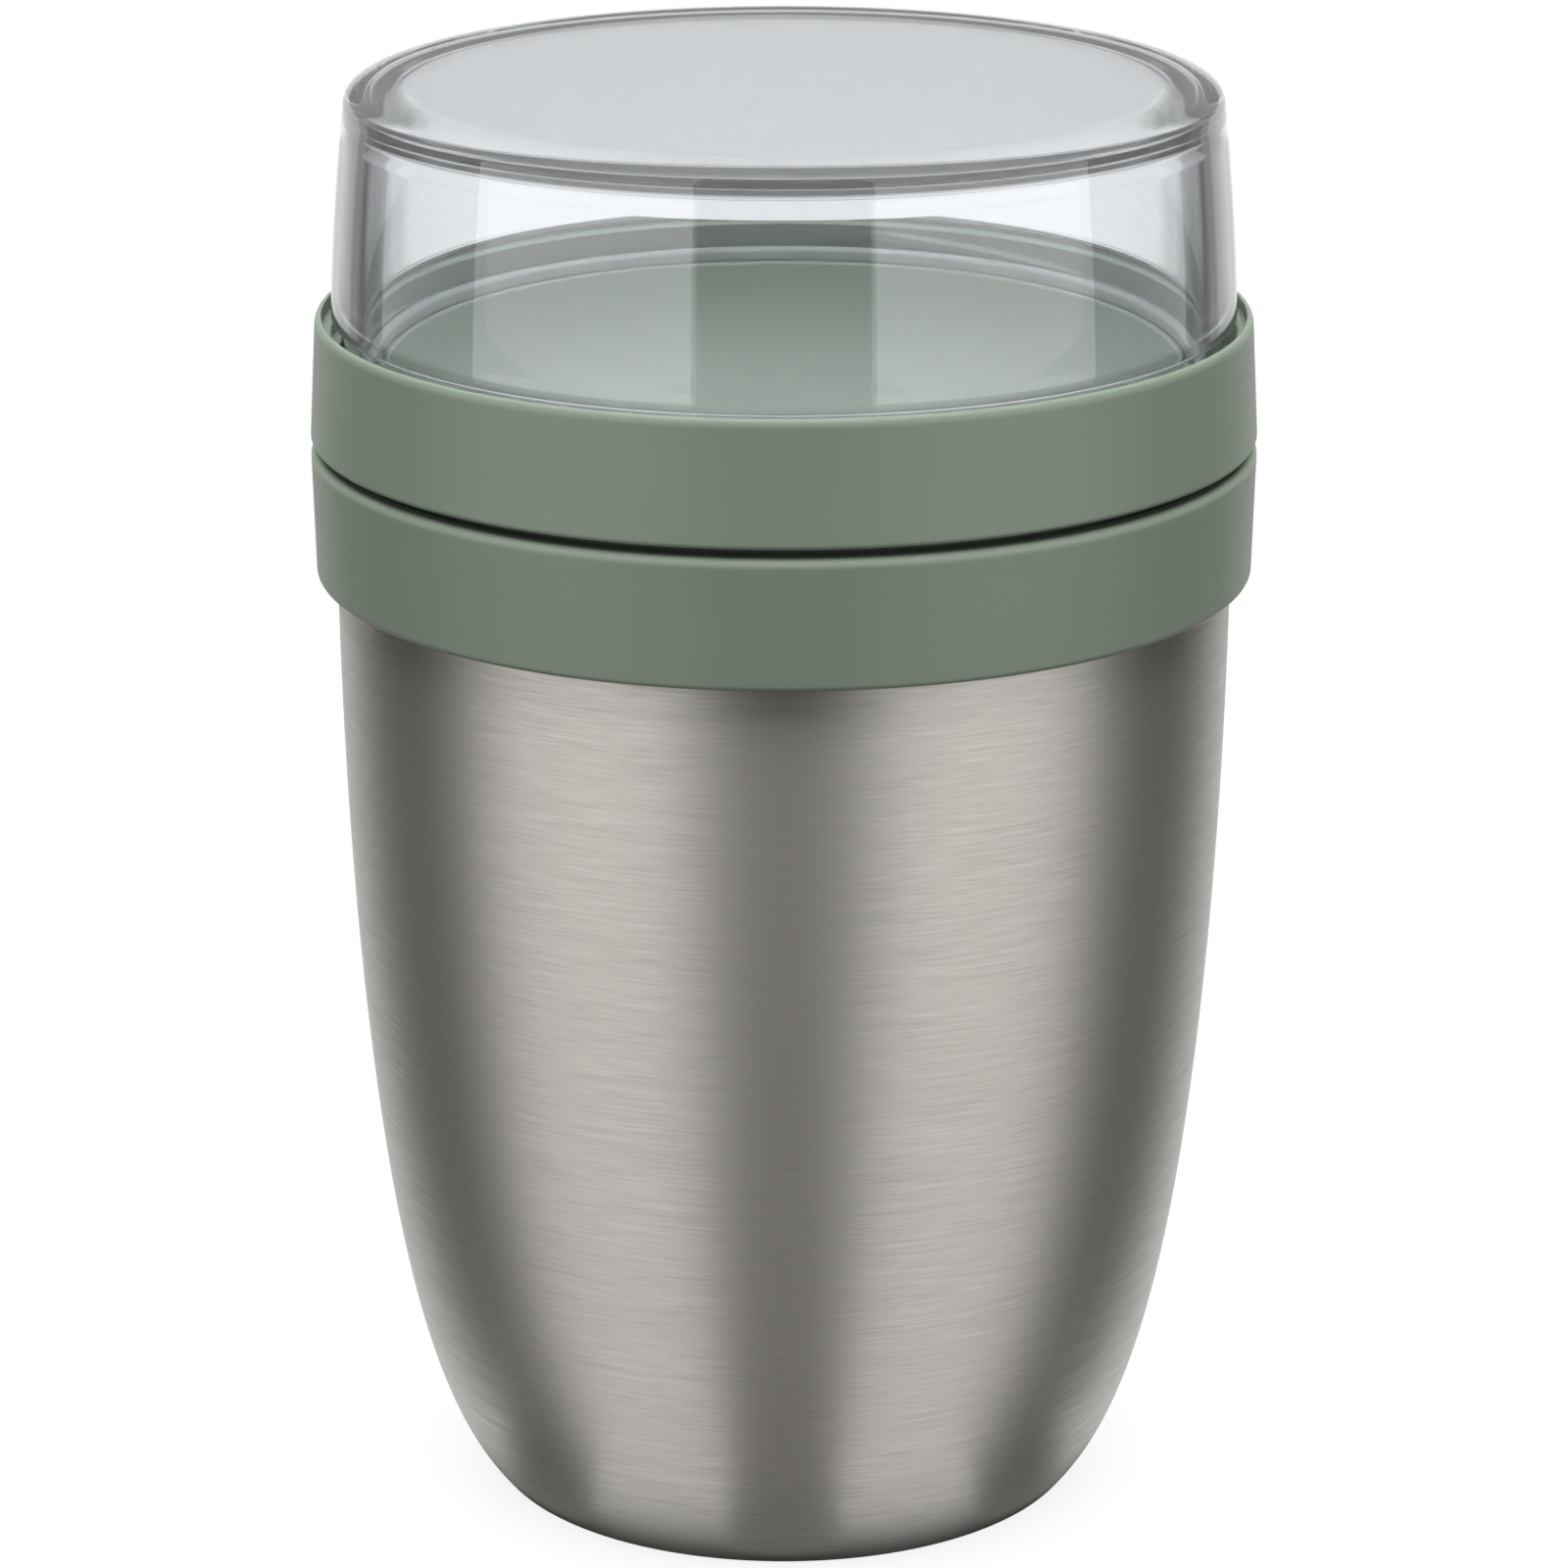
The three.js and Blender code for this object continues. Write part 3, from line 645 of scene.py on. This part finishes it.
def makePlug(size, thread):
    side = thread["wall"]
    panel = size["bottom"] + size["panelRise"]
    soft = size["shoulderFillet"]
    outside = rounded([
        (0, panel + size["gateRise"]),
        (size["gate"], panel + size["gateRise"], size["gateFillet"]),
        (size["gate"] + size["gateSlope"], panel, size["gateFillet"]),
        (size["panel"] - size["panelSlope"], panel, size["panelFillet"]),
        (size["panel"], size["bottom"], size["panelFillet"]),
        (size["tip"], size["bottom"], size["tipFillet"]),
        (size["tip"], size["shoulder"], soft),
        (side, size["shoulder"]),
    ])
    inside = rounded([
        (side, size["top"]),
        (side - size["wall"], size["top"], size["topFillet"]),
        (side - size["wall"], size["shoulder"] + size["wall"], soft),
        (size["tipBore"], size["shoulder"] + size["wall"], soft),
        (size["tipBore"], size["floor"], size["innerFillet"]),
        (0, size["floor"]),
    ])
    wall = threadWall(side, size["shoulder"], size["top"])
    line = outside[:-1] + [Vector(p) for p in wall] + inside[1:]
    return turnPiece("plug_moulding", [tuple(p) for p in line], thread)


place(makePlug(plugSizes, plugThread), "cup", "green_plastic", greenFinish, "plug_shell")

# Lid: threaded skirt, shoulder on the seal, bowed and drafted wall, full rounded top edge, flat top
lidSizes = {
    "skirtFoot": 128.1, "skirtBore": 48.3, "shoulder": 135.0, "edgeFillet": 0.1,
    "footEdge": 138.2, "footRows": 8, "side": 50.98, "sideFoot": 138.95, "sideTop": 162.4, "sideRows": 24,
    "draft": 1.8, "bow": 0.22, "top": 165.0, "topFlat": 43.15, "topRows": 24, "topFullness": 2.6,
    "wall": 3.5, "wallTop": 3.2, "knee": 158.8, "kneeLean": 6.0, "flatHold": 0.4,
    "roof": 162.2, "roofFlat": 41.0, "roofFall": 2.3, "roofFullness": 2.5,
}
lidThread = {"wall": 49.6, "depth": 1.0, "bottom": 128.35, "rise": 4.75, "lead": 18,
             "starts": 3, "startAngle": math.radians(-15)}


def makeLid(size, thread):
    skirt = thread["wall"]
    foot = quarterRound((size["side"], size["sideFoot"]), (skirt, size["footEdge"]), size["footRows"])[::-1]
    side = []
    for step in range(1, size["sideRows"]):
        share = step / size["sideRows"]
        radius = size["side"] - size["draft"] * share + 4 * size["bow"] * share * (1 - share)
        side.append((radius, size["sideFoot"] + (size["sideTop"] - size["sideFoot"]) * share))
    edge = quarterRound((size["side"] - size["draft"], size["sideTop"]), (size["topFlat"], size["top"]),
                        size["topRows"], size["topFullness"])
    flat = [(size["topFlat"] - size["flatHold"], size["top"]), (0, size["top"])]
    # Inside, the wall thins a little up to a knee, leans in from there and is rounded into the roof
    # further in than the outside, so that the slanting sight line crosses an even thickness
    inner = []
    for step in range(size["sideRows"] + 1):
        share = step / size["sideRows"]
        height = size["sideFoot"] + (size["knee"] - size["sideFoot"]) * share
        up = (height - size["sideFoot"]) / (size["sideTop"] - size["sideFoot"])
        radius = size["side"] - size["draft"] * up + 4 * size["bow"] * up * (1 - up)
        inner.append((radius - size["wall"] - (size["wallTop"] - size["wall"]) * share, height))
    slope = (inner[-1][0] - inner[-2][0]) / (inner[-1][1] - inner[-2][1])
    lean = slope - math.tan(math.radians(size["kneeLean"]))
    rise = size["roof"] - size["roofFall"] - size["knee"]
    hold = turning["hold"] / 2
    inner.insert(-1, (inner[-1][0] - slope * hold, size["knee"] - hold))
    inner.append((inner[-1][0] + lean * hold, size["knee"] + hold))
    corner = (inner[-2][0] + lean * rise, size["knee"] + rise)
    roof = quarterRound(corner, (size["roofFlat"], size["roof"]), size["topRows"], size["roofFullness"])[::-1]
    ceiling = [(0, size["roof"]), (size["roofFlat"] - size["flatHold"], size["roof"])] + roof
    skirtInside = rounded([
        inner[0],
        (inner[0][0], size["shoulder"], size["edgeFillet"]),
        (size["skirtBore"], size["shoulder"], size["edgeFillet"]),
        (size["skirtBore"], size["skirtFoot"], size["edgeFillet"]),
        (skirt, size["skirtFoot"]),
    ])
    inside = ceiling + inner[:0:-1] + skirtInside
    wall = threadWall(skirt, size["skirtFoot"], size["footEdge"])
    line = flat[::-1] + edge[::-1] + side[::-1] + foot[::-1] + wall[-2::-1] + inside[-2::-1]
    return turnPiece("clear_lid_moulding", [tuple(p) for p in line], thread)


place(makeLid(lidSizes, lidThread), "lid", "clear_plastic", clearFinish, "clear_lid")

# Seals: the stopper's ring on the vessel's lip and the lid's ring on the bowl's seat
sealSizes = {
    "stopper_seal_ring": {"body": "cup_seal", "node": "cup_gasket", "inner": 45.9, "outer": 48.55,
                          "bottom": 114.15, "top": 115.95, "fillet": 0.55},
    "lid_seal_ring": {"body": "lid_seal", "node": "lid_gasket", "inner": 46.25, "outer": 47.9,
                      "bottom": 132.95, "top": 134.75, "fillet": 0.5},
}
for sealName, size in sealSizes.items():
    corners = [(size["inner"], size["bottom"]), (size["outer"], size["bottom"]),
               (size["outer"], size["top"]), (size["inner"], size["top"])]
    ring = turnPiece(sealName, rounded([(*corner, size["fillet"]) for corner in corners], True))
    place(ring, size["body"], "silicone", rubberFinish, size["node"])

# Pieces that stay sealed inside keep their solids
for nodeName, finish in (("getter_pellet", getterFinish), ("collar_seal", rubberFinish),
                         ("plug_foam", foamFinish)):
    wear(nodes[nodeName], finish)

# Studio: white paper floor under a dark ceiling, a soft box on each side of the camera, a soft light from
# above for the dull surfaces, and dark cards that only reflections and the clear lid see. The cards give
# the steel and the lid their dark bands.
studio = {
    "sideLamp": {"angle": 51.6, "away": 0.6, "wide": 0.68, "tall": 0.72, "height": 0.38, "radiance": 0.95},
    "roomLight": 0.06, "overhead": 8.8, "overheadFade": (0.74, 0.86),
    "ceiling": (0.37, 0.14), "ceilingFade": (0.25, 0.6), "sweepTop": (0.07, 0.13),
    "floorReach": 6.0, "paper": "#c9c9c8", "table": "#4a4a4a",
    "shadowReach": (0.12, 0.45), "shadowShare": 0.12, "underReach": (0.034, 0.046), "underShare": 0.02,
    "cardFoot": (0.036, 0.052), "cardLift": 0.0005, "cardMiddle": 0.052, "cardAway": 1.3, "cardTop": 0.9,
    "frontWalls": 1, "sideWalls": 4,               # walls of the lid that a card is seen through
    # Each card has one tone under the pot, a painted shade for the dim paper there, and is paler or darker
    # than its lines say beside the foot and further out
    "underTone": "#8a8a8a", "frontFall": (2.4, 0.6), "steelFall": (1.2, 0.74), "lidFall": (1.0, 1.0),
    # Lines across each card: where a ray leaves the pot and the way it goes, in degrees from the camera,
    # and the card's tone there. The side cards pale off towards the back.
    "frontCard": [(-10.9, -22.8, "#5a5958"), (10.9, 22.8, "#5a5958")],
    "steelCard": [(40.7, 84, "#555453"), (58, 120, "#555453"), (63, 130, "#8a8988"), (67, 138, "#d6d5d4"),
                  (70, 144, "#ffffff")],
    "lidCard": [(66, 128, "#4c4c4c"), (74, 143, "#4c4c4c"), (84, 158, "#565656"), (90, 160.5, "#7c7c7c"),
                (97.5, 163, "#acacac"), (103, 166, "#dadada"), (110, 169, "#ffffff")],
}


# 1 for what is seen, straight on, in a mirror or through the lid, and 0 for light that a dull surface gathers
def addSeen(tree, path):
    clear = addNode(tree, "Math", {"operation": "MAXIMUM"}, {},
                    {0: path.outputs["Is Camera Ray"], 1: path.outputs["Is Transmission Ray"]})
    shown = addNode(tree, "Math", {"operation": "MAXIMUM"}, {},
                    {0: clear.outputs[0], 1: path.outputs["Is Glossy Ray"]})
    direct = addNode(tree, "Math", {"operation": "LESS_THAN"}, {1: 0.5}, {0: path.outputs["Diffuse Depth"]})
    seen = addNode(tree, "Math", {"operation": "MULTIPLY"}, {}, {0: shown.outputs[0], 1: direct.outputs[0]})
    return seen


def makeFloor(size):
    reach = size["floorReach"]
    mesh = bpy.data.meshes.new("paper_floor")
    mesh.from_pydata([(-reach, -reach, 0), (reach, -reach, 0), (reach, reach, 0), (-reach, reach, 0)],
                     [], [(0, 1, 2, 3)])
    floor = bpy.data.objects.new("paper_floor", mesh)
    bpy.context.collection.objects.link(floor)
    material, tree = startMaterial("whiteBackgroundPaper")
    where = addNode(tree, "NewGeometry")
    flat = addNode(tree, "VectorMath", {"operation": "MULTIPLY"}, {1: (1, 1, 0)},
                   {0: where.outputs["Position"]})
    away = addNode(tree, "VectorMath", {"operation": "LENGTH"}, {}, {0: flat.outputs["Vector"]})
    path = addNode(tree, "LightPath")
    seen = addSeen(tree, path)
    lit = addNode(tree, "BsdfDiffuse", {}, {"Color": hexToLinear(size["paper"])})
    dull = addNode(tree, "BsdfDiffuse", {}, {"Color": hexToLinear(size["table"])})
    # Near the pot the paper shows part of its shadow, further out it is plain white
    near, far = size["shadowReach"]
    most = size["shadowShare"]
    shade = addNode(tree, "MapRange", {"interpolation_type": "SMOOTHSTEP"},
                    {"From Min": near, "From Max": far, "To Min": most, "To Max": 0.0},
                    {"Value": away.outputs["Value"]})
    glow = addNode(tree, "MapRange", {},
                   {"From Min": 0.0, "From Max": most, "To Min": 1.0, "To Max": 1 - most},
                   {"Value": shade.outputs["Result"]})
    white = addNode(tree, "Emission", {}, {}, {"Strength": glow.outputs["Result"]})
    part = addNode(tree, "MixShader", {}, {}, {0: shade.outputs["Result"], 2: lit.outputs[0]})
    both = addNode(tree, "AddShader", {}, {}, {0: part.outputs[0], 1: white.outputs[0]})
    # In the steel the paper darkens under the pot, where little light reaches it
    near, far = size["underReach"]
    under = addNode(tree, "MapRange", {"interpolation_type": "SMOOTHSTEP"},
                    {"From Min": near, "From Max": far, "To Min": size["underShare"], "To Max": 1.0},
                    {"Value": away.outputs["Value"]})
    mirrored = addNode(tree, "Emission", {}, {}, {"Strength": under.outputs["Result"]})
    view = addNode(tree, "MixShader", {}, {},
                   {0: path.outputs["Is Glossy Ray"], 1: both.outputs[0], 2: mirrored.outputs[0]})
    mixed = addNode(tree, "MixShader", {}, {}, {0: seen.outputs[0], 1: dull.outputs[0], 2: view.outputs[0]})
    addNode(tree, "OutputMaterial", {}, {}, {"Surface": mixed.outputs[0]})
    wear(floor, material)


def around(degrees, radius):
    angle = math.radians(degrees)
    return Vector((radius * math.sin(angle), -radius * math.cos(angle), 0))


# Light on its way to a dull surface passes the cards, so they shade nothing, and what has crossed more
# walls of the lid than a card is meant for sees past it
def makeFelt(name, walls):
    material, tree = startMaterial(name)
    tone = addNode(tree, "Attribute", {"attribute_name": "tone"})
    felt = addNode(tree, "Emission", {}, {}, {"Color": tone.outputs["Color"]})
    past = addNode(tree, "BsdfTransparent")
    path = addNode(tree, "LightPath")
    dull = addNode(tree, "Math", {"operation": "GREATER_THAN"}, {1: 0.5}, {0: path.outputs["Diffuse Depth"]})
    far = addNode(tree, "Math", {"operation": "GREATER_THAN"}, {1: 2 * walls + 0.5},
                  {0: path.outputs["Transmission Depth"]})
    stray = addNode(tree, "Math", {"operation": "MAXIMUM"}, {}, {0: dull.outputs[0], 1: far.outputs[0]})
    shown = addNode(tree, "MixShader", {}, {}, {0: stray.outputs[0], 1: felt.outputs[0], 2: past.outputs[0]})
    addNode(tree, "OutputMaterial", {}, {}, {"Surface": shown.outputs[0]})
    return material


def makeCards(size):
    frontFelt = makeFelt("darkFeltCard", size["frontWalls"])
    sideFelt = makeFelt("gradedFeltCard", size["sideWalls"])
    lift = Vector((0, 0, size["cardLift"]))
    cards = [("card_front", size["frontCard"], size["frontFall"], True, True)]
    for way, side in ((-1, "left"), (1, "right")):
        for kind, mirrored in (("steel", True), ("lid", False)):
            lines = [(way * leaves, way * goes, shade) for leaves, goes, shade in size[kind + "Card"]]
            cards.append((kind + "Card_" + side, lines, size[kind + "Fall"], mirrored, not mirrored))
    for name, lines, falls, mirrored, seenThrough in cards:
        corners = []
        tones = []
        for leaves, goes, shade in lines:
            under, near = [around(leaves, radius) + lift for radius in size["cardFoot"]]
            out = around(goes, size["cardAway"]) + Vector((0, 0, size["cardTop"]))
            deep = [under, near, near + out * size["cardMiddle"], near + out]
            corners += deep
            tones.append(hexToLinear(size["underTone"]))
            for fall in (*falls, falls[-1]):
                tones.append([min(share * (fall + (1 - fall) * share), 1) for share in hexToLinear(shade)])
        faces = []
        row = len(deep)
        for start in range(0, len(corners) - row, row):
            for low in range(start, start + row - 1):
                faces.append((low, low + 1, low + row + 1, low + row))
        mesh = bpy.data.meshes.new(name)
        mesh.from_pydata(corners, [], faces)
        paint = mesh.attributes.new("tone", "FLOAT_COLOR", "POINT")
        for point, shade in enumerate(tones):
            paint.data[point].color = shade
        card = bpy.data.objects.new(name, mesh)
        bpy.context.collection.objects.link(card)
        wear(card, frontFelt if name == "card_front" else sideFelt)
        card.visible_camera = False
        card.visible_diffuse = False
        card.visible_shadow = False
        card.visible_glossy = mirrored
        card.visible_transmission = seenThrough


def makeLamp(name, spot, aim, wide, tall, radiance):
    light = bpy.data.lights.new(name, "AREA")
    light.shape = "RECTANGLE"
    light.size = wide
    light.size_y = tall
    light.energy = radiance * math.pi * wide * tall
    lamp = bpy.data.objects.new(name, light)
    lamp.location = spot
    lamp.rotation_euler = (Vector(aim) - Vector(spot)).to_track_quat("-Z", "Y").to_euler()
    lamp.visible_camera = False
    bpy.context.collection.objects.link(lamp)
    return lamp


def makeLamps(size):
    side = size["sideLamp"]
    lift = Vector((0, 0, side["height"]))
    for way, name in ((-1, "soft_box_left"), (1, "soft_box_right")):
        spot = around(way * side["angle"], side["away"]) + lift
        makeLamp(name, spot, lift, side["wide"], side["tall"], side["radiance"])


def makeRoom(size):
    world = bpy.data.worlds.new("white_room")
    bpy.context.scene.world = world
    world.use_nodes = True
    tree = world.node_tree
    tree.nodes.clear()
    path = addNode(tree, "LightPath")
    seen = addSeen(tree, path)
    # Reflections and the lid see a white sweep up to a little above the horizon and a dark ceiling over it
    coords = addNode(tree, "TexCoord")
    part = addNode(tree, "SeparateXYZ", {}, {}, {"Vector": coords.outputs["Generated"]})
    sweep = addNode(tree, "MapRange", {"interpolation_type": "SMOOTHSTEP"},
                    {"From Min": size["sweepTop"][0], "From Max": size["sweepTop"][1]},
                    {"Value": part.outputs["Z"]})
    fade = addNode(tree, "MapRange", {},
                   {"From Min": size["ceilingFade"][0], "From Max": size["ceilingFade"][1],
                    "To Min": size["ceiling"][0], "To Max": size["ceiling"][1]},
                   {"Value": part.outputs["Z"]})
    room = addNode(tree, "Mix", {"data_type": "FLOAT"}, {2: 1.0},
                   {0: sweep.outputs["Result"], 3: fade.outputs["Result"]})
    glimpse = addNode(tree, "Mix", {"data_type": "FLOAT"}, {3: 1.0},
                      {0: path.outputs["Is Camera Ray"], 2: room.outputs[0]})
    # Dull surfaces are lit by the room and by a broad soft light overhead
    overhead = addNode(tree, "MapRange", {"interpolation_type": "SMOOTHSTEP"},
                       {"From Min": size["overheadFade"][0], "From Max": size["overheadFade"][1],
                        "To Min": size["roomLight"], "To Max": size["overhead"]},
                       {"Value": part.outputs["Z"]})
    strength = addNode(tree, "Mix", {"data_type": "FLOAT"}, {},
                       {0: seen.outputs[0], 2: overhead.outputs["Result"], 3: glimpse.outputs[0]})
    white = addNode(tree, "Background", {}, {"Color": (1, 1, 1, 1)}, {"Strength": strength.outputs[0]})
    addNode(tree, "OutputWorld", {}, {}, {"Surface": white.outputs[0]})


makeFloor(studio)
makeCards(studio)
makeLamps(studio)
makeRoom(studio)
print("studio set")

# Camera: a long lens a little above the lid, aimed at the middle of the pot
viewpoint = {"lens": 141.75, "sensor": 36, "aim": (0, 0, 0.0825), "away": 0.7126, "elevation": 17.258}


def makeCamera(size):
    data = bpy.data.cameras.new("pot_camera")
    data.lens = size["lens"]
    data.sensor_width = size["sensor"]
    camera = bpy.data.objects.new("pot_camera", data)
    rise = math.radians(size["elevation"])
    back = Vector((0, -math.cos(rise), math.sin(rise)))
    camera.location = Vector(size["aim"]) + back * size["away"]
    camera.rotation_euler = (-back).to_track_quat("-Z", "Y").to_euler()
    bpy.context.collection.objects.link(camera)
    bpy.context.scene.camera = camera


makeCamera(viewpoint)
bpy.context.scene.view_settings.view_transform = "Standard"
